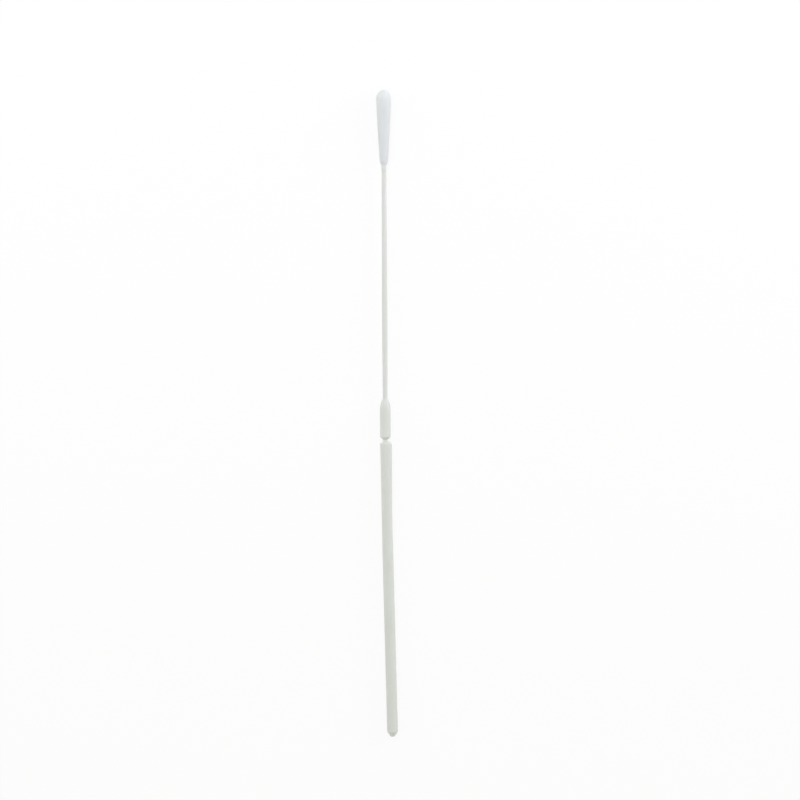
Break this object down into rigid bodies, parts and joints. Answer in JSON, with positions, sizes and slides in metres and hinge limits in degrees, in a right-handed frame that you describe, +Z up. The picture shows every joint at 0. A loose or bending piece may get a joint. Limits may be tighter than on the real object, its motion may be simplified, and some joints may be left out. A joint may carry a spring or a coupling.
{
  "type": "flocked specimen swab",
  "caption": "Straight specimen collection swab: a moulded stick with a conical end, a V groove break point and a thin shaft, with a teardrop flocked tip.",
  "frame": {"origin": "bottom centre of the part's box, on the surface that the swab lies on", "axes": "+X along the swab towards the flocked tip, +Z up"},
  "size_m": [0.15, 0.0036, 0.0035],
  "materials": {
    "stick_plastic": "natural translucent, satin, as moulded",
    "nylon_flock": "short upright nylon pile, matte"
  },
  "bodies": {
    "root": {"moulded_stick": "stick_plastic", "flocked_tip": "nylon_flock"}
  },
  "joints": []
}
